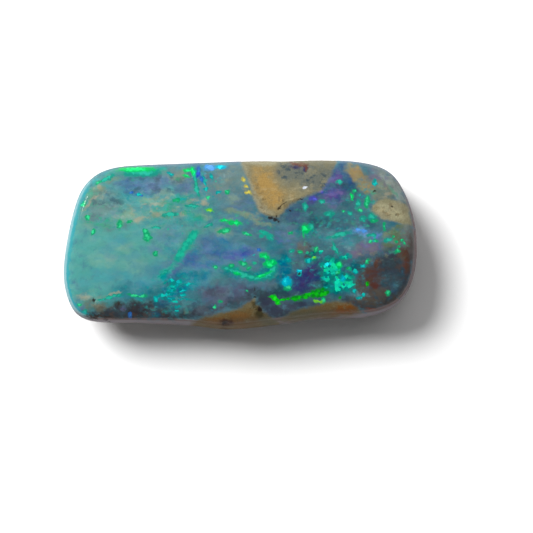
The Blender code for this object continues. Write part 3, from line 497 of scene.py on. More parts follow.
# Play of colour: each group has a deep hue at its rims, a bright one in its lit domains, how broken up
# into such domains it is, spots and strokes
flashes = [
    ("#16907f", "#2bb99f", 0.6, [
        (-6.2, 4.6, 1.2, 0.26), (4.05, 2.35, 0.14, 0.26), (8.25, 1.8, 0.28, 0.26),
        (6.2, 0.62, 0.75, 0.16, 14), (6.9, 1.95, 0.18, 0.14), (7.7, 1.62, 0.24, 0.17),
        (9.3, 0.3, 0.28, 0.14), (5.6, 1.95, 0.3, 0.2), (7.4, 2.6, 0.14, 0.28), (-8.35, 4.25, 0.5, 0.14, 25),
        (4.4, 1.1, 0.24, 0.22), (3.2, -0.4, 0.17, 0.1), (5.1, 2.7, 0.2, 0.12), (6.2, 4.0, 0.2, 0.14),
        (-4.4, 1.9, 0.5, 0.14, 5), (-3.0, 2.45, 0.45, 0.1, -5), (-2.0, 1.2, 0.3, 0.12, 20),
        (8.2, 0.6, 0.3, 0.12), (-7.6, -3.15, 0.3, 0.08, 20), (-9.75, -4.2, 0.2, 0.14, 40),
    ], [
        (0.06, [(-4.4, -1.5), (-5.0, -1.95)]), (0.07, [(-5.5, 1.05), (-5.0, 1.08)]),
        (0.12, [(-2.85, 4.8), (-2.83, 4.2), (-2.75, 3.6), (-2.6, 3.1)]),
        (0.15, [
            (-1.0, -1.48), (-0.3, -1.68), (0.3, -1.96), (1.0, -2.1), (1.75, -1.9), (2.15, -1.5),
            (2.05, -1.0),
        ]),
        (0.09, [(-8.8, -3.45), (-8.2, -3.3), (-7.7, -3.1)]),
        (0.12, [(5.8, 0.1), (5.9, -0.25), (6.1, -0.6)]),
    ]),
    ("#008f90", "#12c4bc", 1.0, [
        (-4.3, -2.2, 0.2, 0.09, -20), (-3.9, -2.35, 0.4, 0.12, 10), (-4.15, -2.6, 0.42, 0.12, 15),
        (-3.4, -2.5, 0.3, 0.07, 5), (-4.3, -2.85, 0.4, 0.1, 25), (-4.7, -3.15, 0.55, 0.1, 8),
        (-4.4, -3.35, 0.45, 0.09), (-4.15, -3.55, 0.3, 0.08, -10), (-3.5, -3.4, 0.36, 0.07),
        (-3.6, -3.15, 0.25, 0.06, 10), (-3.85, -3.85, 0.2, 0.07, 10), (-3.5, -2.85, 0.3, 0.06, 15),
        (-3.95, -4.1, 0.16, 0.06), (-5.25, -3.4, 0.1, 0.2), (-4.6, -2.35, 0.2, 0.06, 35),
        (-3.3, -4.8, 0.25, 0.1), (-2.2, 3.5, 0.17, 0.13), (-4.8, -2.0, 0.2, 0.1, 40),
        (-1.3, 3.3, 0.17, 0.12), (-4.4, 4.5, 0.24, 0.13, -30), (-1.8, 4.3, 0.12, 0.25, 20),
        (-3.1, -2.45, 0.3, 0.08), (7.15, -2.9, 0.16, 0.12), (7.45, -3.3, 0.18, 0.12),
        (7.7, -3.1, 0.13, 0.12), (7.7, -1.32, 0.18, 0.14), (3.0, -0.95, 0.2, 0.14),
        (8.45, 3.95, 0.14, 0.22), (7.2, -1.7, 0.18, 0.12), (5.05, -0.45, 0.16, 0.1),
        (6.6, -0.76, 0.36, 0.16, 8), (2.95, -2.4, 0.32, 0.34), (3.7, -1.8, 0.16, 0.2),
        (-6.4, 3.2, 0.2, 0.1), (4.3, -1.0, 0.2, 0.18),
    ], [(0.1, [(-2.45, 4.35), (-2.3, 4.1), (-2.2, 3.8)])]),
    ("#149e88", "#20b898", 0.9, [
        (1.5, 0.7, 0.3, 0.17, -12), (1.88, 0.48, 0.24, 0.2, -30), (1.35, 0.5, 0.16, 0.12),
    ], [(0.22, [(-2.75, 0.75), (-3.15, 0.3), (-3.55, -0.3), (-3.9, -0.9)])]),
    ("#088a80", "#12dcb0", 1.3, [
        (5.65, -1.4, 0.62, 0.58), (6.35, -2.3, 0.75, 0.5, -10), (6.75, -2.45, 0.42, 0.45),
        (5.85, -2.7, 0.55, 0.28), (6.6, -0.76, 0.34, 0.14, 8), (5.05, -0.45, 0.12, 0.07),
        (6.1, -1.75, 0.3, 0.25), (5.35, -2.1, 0.3, 0.2),
    ], []),
    ("#0c9c66", "#38dc92", 0.6, [
        (-5.78, 0.45, 0.26, 0.32), (-5.88, 0.88, 0.18, 0.16), (-5.3, -0.55, 0.14, 0.17),
        (-9.58, 1.75, 0.15, 0.14), (-9.2, 0.85, 0.13, 0.22, -30), (-7.53, 1.3, 0.14, 0.32),
        (-6.9, 1.45, 0.2, 0.1, 15), (-10.05, -3.72, 0.1, 0.1), (-9.85, 2.65, 0.14, 0.22, -40),
        (-1.55, -1.42, 0.17, 0.15), (-0.55, -1.3, 0.16, 0.14), (-8.9, 4.0, 0.2, 0.08, 30),
        (0.2, -1.2, 0.3, 0.14, -20), (0.55, -1.45, 0.17, 0.14), (-1.2, -3.55, 0.14, 0.12),
        (0.45, 0.66, 0.3, 0.09, -18), (3.15, 0.72, 0.15, 0.12), (-0.95, 0.88, 0.4, 0.16, 12),
        (7.95, 2.7, 0.15, 0.42, -10), (7.5, 2.17, 0.15, 0.12), (7.2, 3.4, 0.15, 0.12),
        (8.4, 1.5, 0.24, 0.1), (9.0, 1.1, 0.1, 0.28), (8.15, 0.18, 0.13, 0.1), (8.5, 0.22, 0.14, 0.1),
        (9.85, -0.4, 0.17, 0.09), (4.6, -0.82, 0.17, 0.15), (4.75, -0.3, 0.12, 0.22, -20),
        (3.8, -0.5, 0.14, 0.12), (7.95, -1.05, 0.17, 0.13, 40), (9.25, -3.0, 0.15, 0.15),
        (5.2, -3.5, 0.15, 0.2), (6.8, -1.5, 0.14, 0.12), (6.5, 2.1, 0.08, 0.08), (-0.8, 3.37, 0.16, 0.14),
        (-4.0, 2.8, 0.26, 0.14), (-2.0, 2.95, 0.14, 0.1), (6.1, -1.75, 0.14, 0.12),
        (2.98, -2.72, 0.24, 0.17), (-1.6, -3.9, 0.08, 0.12), (0.4, -2.9, 0.12, 0.1), (9.8, 0.2, 0.1, 0.08),
        (10.1, 0.32, 0.1, 0.08), (10.28, 0.1, 0.09, 0.08), (9.95, -0.08, 0.09, 0.07),
        (9.6, 0.5, 0.08, 0.06),
    ], [(0.08, [(-6.95, -3.1), (-6.4, -3.2), (-5.85, -3.2)])]),
    ("#00b95c", "#1cf584", 0.6, [
        (-6.5, 4.83, 1.15, 0.19), (-3.3, 4.72, 0.32, 0.14), (-2.95, 4.65, 0.15, 0.3, 15),
        (-0.4, 1.37, 0.5, 0.16, -10), (-0.95, 1.52, 0.32, 0.11, -8), (4.08, 1.0, 0.27, 0.28),
        (3.96, 0.62, 0.09, 0.22), (1.88, -1.2, 0.38, 0.24, 15), (1.55, -0.72, 0.36, 0.17, -20),
        (7.0, 3.02, 0.1, 0.26, 8), (6.2, -1.27, 0.18, 0.22), (-1.95, 2.17, 0.28, 0.1, -15),
        (-0.2, -1.8, 0.25, 0.1, -20), (-3.35, 4.35, 0.28, 0.09, -20),
    ], [(0.09, [(1.0, -2.05), (1.5, -1.9), (1.95, -1.7)])]),
    ("#008a10", "#12c01c", 1.2, [
        (5.1, -2.98, 0.4, 0.26), (4.55, -3.12, 0.5, 0.2, 8), (7.93, -2.45, 0.12, 0.11),
        (6.25, -3.28, 0.1, 0.1),
    ], [
        (0.08, [(2.4, -3.45), (3.2, -3.38)]),
        (0.16, [(3.2, -3.38), (3.7, -3.35), (4.3, -3.17), (5.0, -3.05)]),
    ]),
    ("#00c414", "#24f028", 0.6, [
        (2.2, -3.38, 0.26, 0.15, -35), (2.35, -3.6, 0.15, 0.15), (1.98, -3.22, 0.12, 0.07),
        (2.6, -3.45, 0.16, 0.07),
    ], []),
    ("#62c030", "#a8e440", 0.6, [
        (4.85, -3.53, 0.26, 0.1, -8), (4.62, -0.83, 0.08, 0.07), (-1.93, 2.17, 0.26, 0.08, -15),
    ], []),
    ("#a8a04c", "#d8cc58", 0.6, [
        (0.5, 3.3, 0.24, 0.12, -25), (0.22, 4.12, 0.1, 0.17, 30), (0.4, 3.66, 0.15, 0.09, -20),
    ], []),
    ("#2560a8", "#3a7ccc", 0.6, [
        (-2.62, 4.65, 0.14, 0.4), (-2.45, 4.2, 0.12, 0.28, 15), (1.15, -0.35, 0.12, 0.1),
        (-6.88, -4.4, 0.09, 0.22, 10), (-6.85, 3.32, 0.1, 0.08), (-6.2, 3.12, 0.12, 0.06),
        (-6.5, 3.2, 0.08, 0.05),
    ], []),
    ("#4348a8", "#5a60d0", 1.0, [(4.6, 2.9, 0.24, 0.16), (5.1, 3.35, 0.14, 0.1)], []),
    ("#4a94e0", "#64a8f0", 1.3, [
        (-1.9, 4.92, 0.35, 0.2), (7.4, 0.9, 0.16, 0.12), (7.75, 0.85, 0.16, 0.08),
    ], []),
    ("#00a8c4", "#20f0f4", 0.5, [
        (2.9, -2.3, 0.3, 0.26), (-1.25, 4.95, 0.38, 0.15), (3.7, -1.62, 0.17, 0.09),
        (5.45, -1.25, 0.14, 0.1), (6.4, -2.1, 0.14, 0.2),
    ], []),
]

# Grains of ironstone and small dark gaps in the face
ironGrains = [
    (1.93, 1.7, 0.24, 0.12, 15), (2.22, 1.6, 0.22, 0.17), (2.38, 1.48, 0.13, 0.12),
    (2.28, 1.8, 0.13, 0.1, 60), (2.45, 2.27, 0.18, 0.15, 30), (2.58, 2.46, 0.12, 0.08, 40),
    (2.8, 2.62, 0.22, 0.09, 35), (2.66, 2.78, 0.09, 0.07), (9.5, 2.4, 0.1, 0.07), (9.75, 1.93, 0.09, 0.06),
    (-9.12, -3.4, 0.12, 0.17, 20), (-0.95, -4.84, 0.24, 0.1, 5), (0.9, -2.8, 0.11, 0.15),
    (0.92, -3.3, 0.11, 0.08), (3.75, 2.86, 0.24, 0.06, 25), (1.25, -4.05, 0.12, 0.2, 30),
    (-9.2, -4.55, 0.5, 0.05, -6), (-8.3, -4.7, 0.4, 0.04, -18), (3.7, -1.85, 0.07, 0.08),
    (-8.6, -4.5, 0.3, 0.04, -8), (8.4, 3.4, 0.12, 0.09), (3.1, 2.15, 0.08, 0.06),
]

# Glassy grains of quartz in the matrix, with a painted highlight: coloured near white where they catch the
# light
quartzGrainsPaintedGlint = [(4.05, 3.6, 0.2, 0.1, 15)]

# How the stone takes its colours and its polish. A ramp is where it begins, where it is full and,
# where that isn't 1, how strong it is there. A range is the least and the most.
finish = {
    "fieldWarp": 0.34,  # how far the body colours wander, and over what distance
    "fieldWarpSize": 1.3,
    "featherWarp": 0.14,  # and again, much finer, so that their edges are feathery
    "featherSize": 0.32,
    "edgeWarp": 0.11,  # the same for the edges of flashes and matrix
    "edgeWarpSize": 0.28,
    "mottleSize": 0.5,
    "mottleRange": (0.35, 1.65),  # how unevenly the patches and the bands of the rim take
    "patchGrow": 1.25,  # the soft patches fade out beyond their listed size
    "patchCore": 0.4,  # how far in a patch is full when it has no fade
    "fleckApart": 7.0,  # each kind of fleck reads the noise this far from the last
    "fleckZone": (0.0, 0.6),
    "glowGrow": 1.5,  # the glow of a flash fades out beyond it too
    "glowRamp": (0.0, 0.5, 0.5),
    "deepRamp": (0.24, 0.44, 0.9),  # of the deep hue of a flash, and of its bright one
    "brightRamp": (0.48, 0.82, 0.9),
    "facetSize": 0.19,  # width of one domain of play of colour
    "facetPull": 0.45,  # how far a flash breaks into those domains
    "grainSize": 0.09,
    "grainStrength": 0.22,
    "raggedScale": 2.2,  # of the noise along the edge of the matrix, and how far it pushes that edge
    "raggedPush": 0.4,
    "matrixRamp": (0.07, 0.34),
    "ironRamp": (0.0, 0.6, 0.9),
    "quartzGlintRamp": (0.0, 0.7),
    "opalRoughness": 0.09,
    "matrixRoughness": 0.24,
    "ironRoughness": 0.6,
    "groundRoughness": 0.5,
    "faceGloss": 0.5,
    "groundGloss": 0.1,
    "polishedFrom": (0.4, 0.85),  # how level the surface is where the polish begins, and where it is full
    "opalIor": 1.45,  # common for opal
    "depth": 0.8,  # darkens all the colours, which are listed as they look in the bright studio
    "seamTop": 2.3,  # the opal seam, from the face down to here
    "seamBottom": 1.3,
    "seamScale": 0.6,
    "seamWander": 2.0,  # how far its lower edge rises and falls
    "opal": "#4a8090",
    "sandstone": "#7f7b60",
    "sandGrain": "#6a5a44",
    "iron": "#1e100a",
    # near white: a painted highlight on the quartz grain
    "quartzGlintWhite": "#dde4f0",
}

noiseRange = (0.3, 0.7)  # nearly all of a noise texture lies between these
warpGain = 2.6  # brings that noise to its full reach
flatten = (1, 1, 0)  # a Mapping node with this scale makes a pattern run straight down the sides

# Settings of a Map Range that rises softly. It holds level at its ends without a clamp.
softly = {"interpolation_type": "SMOOTHSTEP", "clamp": False}


def ovals(spots, strokes, grow):
    # The spots, and the strokes as long ovals that overlap by half
    spots = [
        (x, y, grow * halfLength, grow * halfWidth, *turn)
        for x, y, halfLength, halfWidth, *turn in spots
    ]
    for halfWidth, points in strokes:
        points = [Vector(point) for point in points]
        stretches = list(zip(points, points[1:]))
        middles = [(start + end) / 2 for start, end in stretches]
        runs = [(middle, end - start) for middle, (start, end) in zip(middles, stretches)]
        runs += [(joint, after - before) for before, joint, after in zip(middles, points[1:], middles[1:])]
        for middle, run in runs:
            turn = math.degrees(math.atan2(run.y, run.x))
            spots.append((*middle, 0.9 * run.length + 0.5 * halfWidth, grow * halfWidth, turn))
    return spots


def closestOf(tree, place, spots):
    # 1 in the middle of the nearest oval spot, down to 0 at its rim and outside it
    nearest = None
    for x, y, halfLength, halfWidth, *turn in spots:
        local = addNode(
            tree, "ShaderNodeMapping", {
                "Vector": place, "Location": (x, y, 0), "Rotation": (0, 0, math.radians(sum(turn))),
                "Scale": (halfLength, halfWidth, 1),
            }, vector_type="TEXTURE",
        )
        near = addNode(tree, "ShaderNodeTexGradient", {0: local}, gradient_type="SPHERICAL").outputs["Fac"]
        if nearest:
            near = addNode(tree, "ShaderNodeMath", {0: nearest, 1: near}, operation="MAXIMUM")
        nearest = near
    return nearest


def rampUp(low, high, top=1.0):
    # Sockets of a Map Range that rises from 0 at low to top at high
    return {"From Min": low, "From Max": high, "To Max": top}


def spread(ends, newEnds):
    # Sockets of a Map Range from one range to another
    return {"From Min": ends[0], "From Max": ends[1], "To Min": newEnds[0], "To Max": newEnds[1]}


def warped(tree, place, size, reach):
    # The place pushed about by soft noise, so that nothing laid on it has a straight edge
    cloud = addNode(
        tree, "ShaderNodeTexNoise", {"Vector": place, "Scale": 1 / size, "Detail": 4.0, "Roughness": 0.6}
    ).outputs["Color"]
    centred = addNode(tree, "ShaderNodeVectorMath", {0: cloud, 1: (0.5, 0.5, 0.5)}, operation="SUBTRACT")
    push = addNode(tree, "ShaderNodeVectorMath", {0: centred, "Scale": warpGain * reach}, operation="SCALE")
    return addNode(tree, "ShaderNodeVectorMath", {0: place, 1: push}, operation="ADD")


def layColours(tree, place, mottle, under, layers):
    # Soft patches of body colour, each layer over the last, their edges feathered by the mottle
    core = finish["patchCore"]
    for hue, strength, fade, spots, strokes in layers:
        nearest = closestOf(tree, place, ovals(spots, strokes, finish["patchGrow"]))
        nearest = addNode(tree, "ShaderNodeMath", {0: nearest, 1: mottle}, operation="MULTIPLY")
        ramp = rampUp(0.0, core + (1 - core) * fade, strength)
        share = addNode(tree, "ShaderNodeMapRange", {"Value": nearest, **ramp}, **softly)
        under = addNode(tree, "ShaderNodeMix", {0: share, 6: under, 7: linear(hue)}, data_type="RGBA")
    return under


def layFlecks(tree, place, flat, under, flecks):
    # Fine flecks of other colours, each from noise of its own and inside its zones only
    for number, (hue, strength, size, stretch, above, zones) in enumerate(flecks):
        along = addNode(
            tree, "ShaderNodeMapping", {
                "Vector": place, "Location": (finish["fleckApart"] * number, 3.0, 0.0),
                "Scale": (1 / stretch, 1.0, 1.0),
            },
        )
        speck = addNode(
            tree, "ShaderNodeTexNoise", {"Vector": along, "Scale": 1 / size, "Detail": 3.0, "Roughness": 0.55}
        )
        speck = addNode(tree, "ShaderNodeMapRange", {"Value": speck, **rampUp(*above, strength)}, **softly)
        zone = closestOf(tree, flat, zones)
        zone = addNode(tree, "ShaderNodeMapRange", {"Value": zone, **rampUp(*finish["fleckZone"])}, **softly)
        share = addNode(tree, "ShaderNodeMath", {0: speck, 1: zone}, operation="MULTIPLY")
        under = addNode(tree, "ShaderNodeMix", {0: share, 6: under, 7: linear(hue)}, data_type="RGBA")
    return under


def layFlashes(tree, place, sparkle, under, groups):
    # Play of colour: a soft glow, in it domains of the deep hue, and in those the ones that are lit
    for deep, bright, broken, spots, strokes in groups:
        nearest = closestOf(tree, place, ovals(spots, strokes, finish["glowGrow"]))
        uneven = addNode(
            tree, "ShaderNodeMath", {0: sparkle, 1: broken, 2: 1 - broken / 2}, operation="MULTIPLY_ADD"
        )
        uneven = addNode(tree, "ShaderNodeMath", {0: nearest, 1: uneven}, operation="MULTIPLY")
        for value, ramp, hue in (
            (nearest, "glowRamp", deep), (uneven, "deepRamp", deep), (uneven, "brightRamp", bright),
        ):
            share = addNode(tree, "ShaderNodeMapRange", {"Value": value, **rampUp(*finish[ramp])}, **softly)
            under = addNode(tree, "ShaderNodeMix", {0: share, 6: under, 7: linear(hue)}, data_type="RGBA")
    return under


# Streaky clouds in the body colour: which way they run, and how far they change its hue, its
# strength and its light
clouds = {
    "turn": -0.2,
    "stretch": (0.6, 1.0, 1.0),
    "scale": 1.5,
    "hue": (0.47, 0.53),
    "saturation": (0.8, 1.15),
    "light": (0.72, 1.12),
    "calmZone": [(-8.0, -0.8, 4.5, 4.0)],  # the milky left third has less of them
    "calmRamp": (0.0, 0.5, 0.6),
}


def clouded(tree, place, body):
    # The body colour a little lighter and darker, greener and bluer, in fine streaks
    along = addNode(
        tree, "ShaderNodeMapping",
        {"Vector": place, "Rotation": (0, 0, clouds["turn"]), "Scale": clouds["stretch"]},
    )
    cloud = addNode(
        tree, "ShaderNodeTexNoise",
        {"Vector": along, "Scale": clouds["scale"], "Detail": 7.0, "Roughness": 0.68},
    ).outputs["Color"]
    parts = addNode(tree, "ShaderNodeSeparateColor", {0: cloud})
    hue, saturation, light = (
        addNode(tree, "ShaderNodeMapRange", {"Value": part, **spread(noiseRange, change)}, clamp=False)
        for part, change in zip(parts.outputs, (clouds["hue"], clouds["saturation"], clouds["light"]))
    )
    varied = addNode(
        tree, "ShaderNodeHueSaturation", {"Hue": hue, "Saturation": saturation, "Value": light, "Color": body}
    )
    flat = addNode(tree, "ShaderNodeMapping", {"Vector": place, "Scale": flatten})
    calm = closestOf(tree, flat, clouds["calmZone"])
    calm = addNode(tree, "ShaderNodeMapRange", {"Value": calm, **rampUp(*clouds["calmRamp"])}, **softly)
    return addNode(tree, "ShaderNodeMix", {0: calm, 6: varied, 7: body}, data_type="RGBA")


# Pinpoints of colour, and the zones in which they are thick
pinfirePoints = {
    "spacing": 0.3,
    "zonePull": 0.55,  # how much likelier they are in a zone
    "sizeRamp": (0.97, 1.4, 0.38),
    "edgeRamp": (0.0, 0.1, 0.75),
    "green": "#18b878",
    "cyan": "#18a8b4",
    "zones": [
        (6.4, -1.6, 2.2, 2.2), (-4.1, -2.9, 1.7, 1.2), (-2.3, 3.9, 1.9, 1.6), (7.7, 2.2, 1.5, 1.8),
        (0.5, -1.2, 2.4, 1.4), (4.3, -0.4, 1.6, 1.4), (8.4, 0.4, 1.8, 1.0), (-4.5, 1.8, 3.0, 2.2),
        (-6.5, -3.2, 2.4, 0.7),
    ],
}

# Where the domains of the play of colour show in the body too, and how far they change it
mosaic = {
    "zones": [(6.0, -1.8, 1.7, 1.5), (-4.2, -2.8, 1.1, 1.2), (-2.5, 4.3, 0.9, 0.8)],
    "zoneRamp": (0.0, 0.5),
    "hue": (0.47, 0.53),
    "light": (0.78, 1.16),
}


def mosaicked(tree, flat, sparkle, face):
    # Where the play of colour is strongest, each of its domains has a hue and a light of its own
    everySparkle = (0.0, 1.0)
    hue = addNode(
        tree, "ShaderNodeMapRange", {"Value": sparkle.outputs[1], **spread(everySparkle, mosaic["hue"])}
    )
    light = addNode(
        tree, "ShaderNodeMapRange", {"Value": sparkle.outputs[2], **spread(everySparkle, mosaic["light"])}
    )
    varied = addNode(tree, "ShaderNodeHueSaturation", {"Hue": hue, "Value": light, "Color": face})
    share = closestOf(tree, flat, mosaic["zones"])
    share = addNode(tree, "ShaderNodeMapRange", {"Value": share, **rampUp(*mosaic["zoneRamp"])}, **softly)
    return addNode(tree, "ShaderNodeMix", {0: share, 6: face, 7: varied}, data_type="RGBA")


def pinfire(tree, place, flat, face):
    # Pinpoints of green and cyan, likelier where the play of colour is strongest
    points = addNode(
        tree, "ShaderNodeTexVoronoi", {"Vector": place, "Scale": 1 / pinfirePoints["spacing"]}
    )
    chance = addNode(tree, "ShaderNodeSeparateColor", {0: points.outputs["Color"]})
    where = closestOf(tree, flat, pinfirePoints["zones"])
    wanted = addNode(
        tree, "ShaderNodeMath", {0: where, 1: pinfirePoints["zonePull"], 2: chance.outputs[0]},
        operation="MULTIPLY_ADD",
    )
    size = addNode(
        tree, "ShaderNodeMapRange", {"Value": wanted, **rampUp(*pinfirePoints["sizeRamp"])}, clamp=False
    )
    inside = addNode(tree, "ShaderNodeMath", {0: size, 1: points.outputs["Distance"]}, operation="SUBTRACT")
    lit = addNode(
        tree, "ShaderNodeMapRange", {"Value": inside, **rampUp(*pinfirePoints["edgeRamp"])}, **softly
    )
    green, cyan = linear(pinfirePoints["green"]), linear(pinfirePoints["cyan"])
    colour = addNode(tree, "ShaderNodeMix", {0: chance.outputs[1], 6: green, 7: cyan}, data_type="RGBA")
    return addNode(tree, "ShaderNodeMix", {0: lit, 6: face, 7: colour}, data_type="RGBA")


# Painted reflection and painted shade on the rounded edge, by the side that it faces, partly the edge's own
# colour.
# Each has the hue, the share that it takes, the side that it faces, and how level the surface is where it
# begins and where it is full
rimShadeAndReflectionBands = [
    # left: a darker teal line of painted shade, and outside it a pale painted reflection
    {"hue": "#1f98a6", "strength": 0.7, "facing": (-0.96, -0.28), "from": (0.93, 0.83)},
    {"hue": "#93b6bd", "strength": 0.7, "facing": (-0.96, -0.28), "from": (0.78, 0.56)},
    # top, right and bottom: painted shade and reflection of the shadowed floor, over part of the edge's own
    # colour
    {"hue": "#557e80", "strength": 0.7, "facing": (0.0, 1.0), "from": (0.6, 0.3)},
    {"hue": "#66748a", "strength": 0.85, "facing": (0.8, 0.6), "from": (0.68, 0.4)},
    {"hue": "#7d6461", "strength": 0.95, "facing": (0.8, -0.6), "from": (0.72, 0.5)},
    {"hue": "#868086", "strength": 0.95, "facing": (0.1, -1.0), "from": (0.45, 0.2)},
]

# The sides: thin level layers, brown ironstone and thin veins of opal below the seam
sides = {
    "layerStretch": (0.4, 0.4, 1.5),
    "layerScale": 1.2,
    "unevenRim": 0.12,  # how far the bands of the rim wander
    "facingRamp": (0.3, 0.65),
    "layerRange": (0.4, 0.55),
    "layerShare": (0.75, 1.0),  # how far the bands of the rim follow the layers
    "toneRamp": (0.35, 0.65),
    "dark": "#4c403e",
    "pale": "#8a7970",
    "veinLevel": 0.52,
    "veinRamp": (0.018, 0.004, 0.8),
    "vein": "#3d8f94",
}


def levelBands(tree, place):
    # Noise in thin level layers, as the stone was laid down
    level = addNode(tree, "ShaderNodeMapping", {"Vector": place, "Scale": sides["layerStretch"]})
    return addNode(
        tree, "ShaderNodeTexNoise",
        {"Vector": level, "Scale": sides["layerScale"], "Detail": 5.0, "Roughness": 0.55},
    )


def paintRimShadeAndReflection(tree, place, normal, mottle, face):
    # Painted reflection and shade: the rounded edge and the sides take on other colours by the way that they
    # face
    uneven = sides["unevenRim"]
    level = addNode(tree, "ShaderNodeSeparateXYZ", {0: normal}).outputs["Z"]
    level = addNode(tree, "ShaderNodeMath", {0: mottle, 1: uneven, 2: level}, operation="MULTIPLY_ADD")
    level = addNode(tree, "ShaderNodeMath", {0: level, 1: uneven}, operation="SUBTRACT")
    outward = addNode(tree, "ShaderNodeVectorMath", {0: normal, 1: flatten}, operation="MULTIPLY")
    outward = addNode(tree, "ShaderNodeVectorMath", {0: outward}, operation="NORMALIZE")
    layered = addNode(
        tree, "ShaderNodeMapRange",
        {"Value": levelBands(tree, place), **spread(sides["layerRange"], sides["layerShare"])},
    )
    for band in rimShadeAndReflectionBands:
        toSide = addNode(
            tree, "ShaderNodeVectorMath", {0: outward, 1: (*band["facing"], 0.0)}, operation="DOT_PRODUCT"
        ).outputs["Value"]
        facing = addNode(tree, "ShaderNodeMath", {0: toSide, 1: mottle}, operation="MULTIPLY")
        facing = addNode(
            tree, "ShaderNodeMapRange", {"Value": facing, **rampUp(*sides["facingRamp"])}, **softly
        )
        ramp = rampUp(*band["from"], band["strength"])
        share = addNode(tree, "ShaderNodeMapRange", {"Value": level, **ramp}, **softly)
        share = addNode(tree, "ShaderNodeMath", {0: facing, 1: share}, operation="MULTIPLY")
        share = addNode(tree, "ShaderNodeMath", {0: share, 1: layered}, operation="MULTIPLY")
        face = addNode(tree, "ShaderNodeMix", {0: share, 6: face, 7: linear(band["hue"])}, data_type="RGBA")
    return face


def ironstoneSides(tree, place):
    # Below the seam: brown ironstone with thin level veins of opal
    bands = levelBands(tree, place)
    tone = addNode(tree, "ShaderNodeMapRange", {"Value": bands, **rampUp(*sides["toneRamp"])}, **softly)
    dark, pale = linear(sides["dark"]), linear(sides["pale"])
    stone = addNode(tree, "ShaderNodeMix", {0: tone, 6: dark, 7: pale}, data_type="RGBA")
    offVein = addNode(tree, "ShaderNodeMath", {0: bands, 1: sides["veinLevel"]}, operation="SUBTRACT")
    offVein = addNode(tree, "ShaderNodeMath", {0: offVein}, operation="ABSOLUTE")
    vein = addNode(tree, "ShaderNodeMapRange", {"Value": offVein, **rampUp(*sides["veinRamp"])}, **softly)
    return addNode(tree, "ShaderNodeMix", {0: vein, 6: stone, 7: linear(sides["vein"])}, data_type="RGBA")


def sandstone(tree, place, flatField, edgePlace, mottle):
    # Sandstone cemented with iron, polished down to a fine grain
    grain = addNode(
        tree, "ShaderNodeTexNoise", {"Vector": place, "Scale": 1 / finish["grainSize"], "Detail": 4.0}
    )
    rock = layColours(tree, flatField, mottle, linear(finish["sandstone"]), matrixLayers)
    rock = layFlecks(tree, edgePlace, flatField, rock, matrixFlecks)
    ramp = rampUp(*noiseRange, finish["grainStrength"])
    tone = addNode(tree, "ShaderNodeMapRange", {"Value": grain, **ramp}, **softly)
    return addNode(
        tree, "ShaderNodeMix", {0: tone, 6: rock, 7: linear(finish["sandGrain"])},
        data_type="RGBA", blend_type="MULTIPLY",
    )


def matrixShare(tree, place):
    # 1 inside the matrix and 0 in the opal, with a ragged edge between them
    depth = addNode(tree, "ShaderNodeAttribute", attribute_name="matrixDepth").outputs["Fac"]
    ragged = addNode(
        tree, "ShaderNodeTexNoise",
        {"Vector": place, "Scale": finish["raggedScale"], "Detail": 5.0, "Roughness": 0.65},
    )
    ragged = addNode(
        tree, "ShaderNodeMath", {0: ragged, 1: finish["raggedPush"], 2: depth}, operation="MULTIPLY_ADD"
    )
    return addNode(tree, "ShaderNodeMapRange", {"Value": ragged, **rampUp(*finish["matrixRamp"])}, **softly)


def seamShare(tree, place):
    # 1 in the seam of opal that the face was cut from, 0 in the ironstone below it
    height = addNode(tree, "ShaderNodeSeparateXYZ", {0: place}).outputs["Z"]
    wander = addNode(
        tree, "ShaderNodeTexNoise",
        {"Vector": place, "Scale": finish["seamScale"], "Detail": 5.0, "Roughness": 0.6},
    )
    height = addNode(
        tree, "ShaderNodeMath", {0: wander, 1: finish["seamWander"], 2: height}, operation="MULTIPLY_ADD"
    )
    middle = finish["seamWander"] / 2
    ramp = rampUp(finish["seamBottom"] + middle, finish["seamTop"] + middle)
    return addNode(tree, "ShaderNodeMapRange", {"Value": height, **ramp}, **softly)


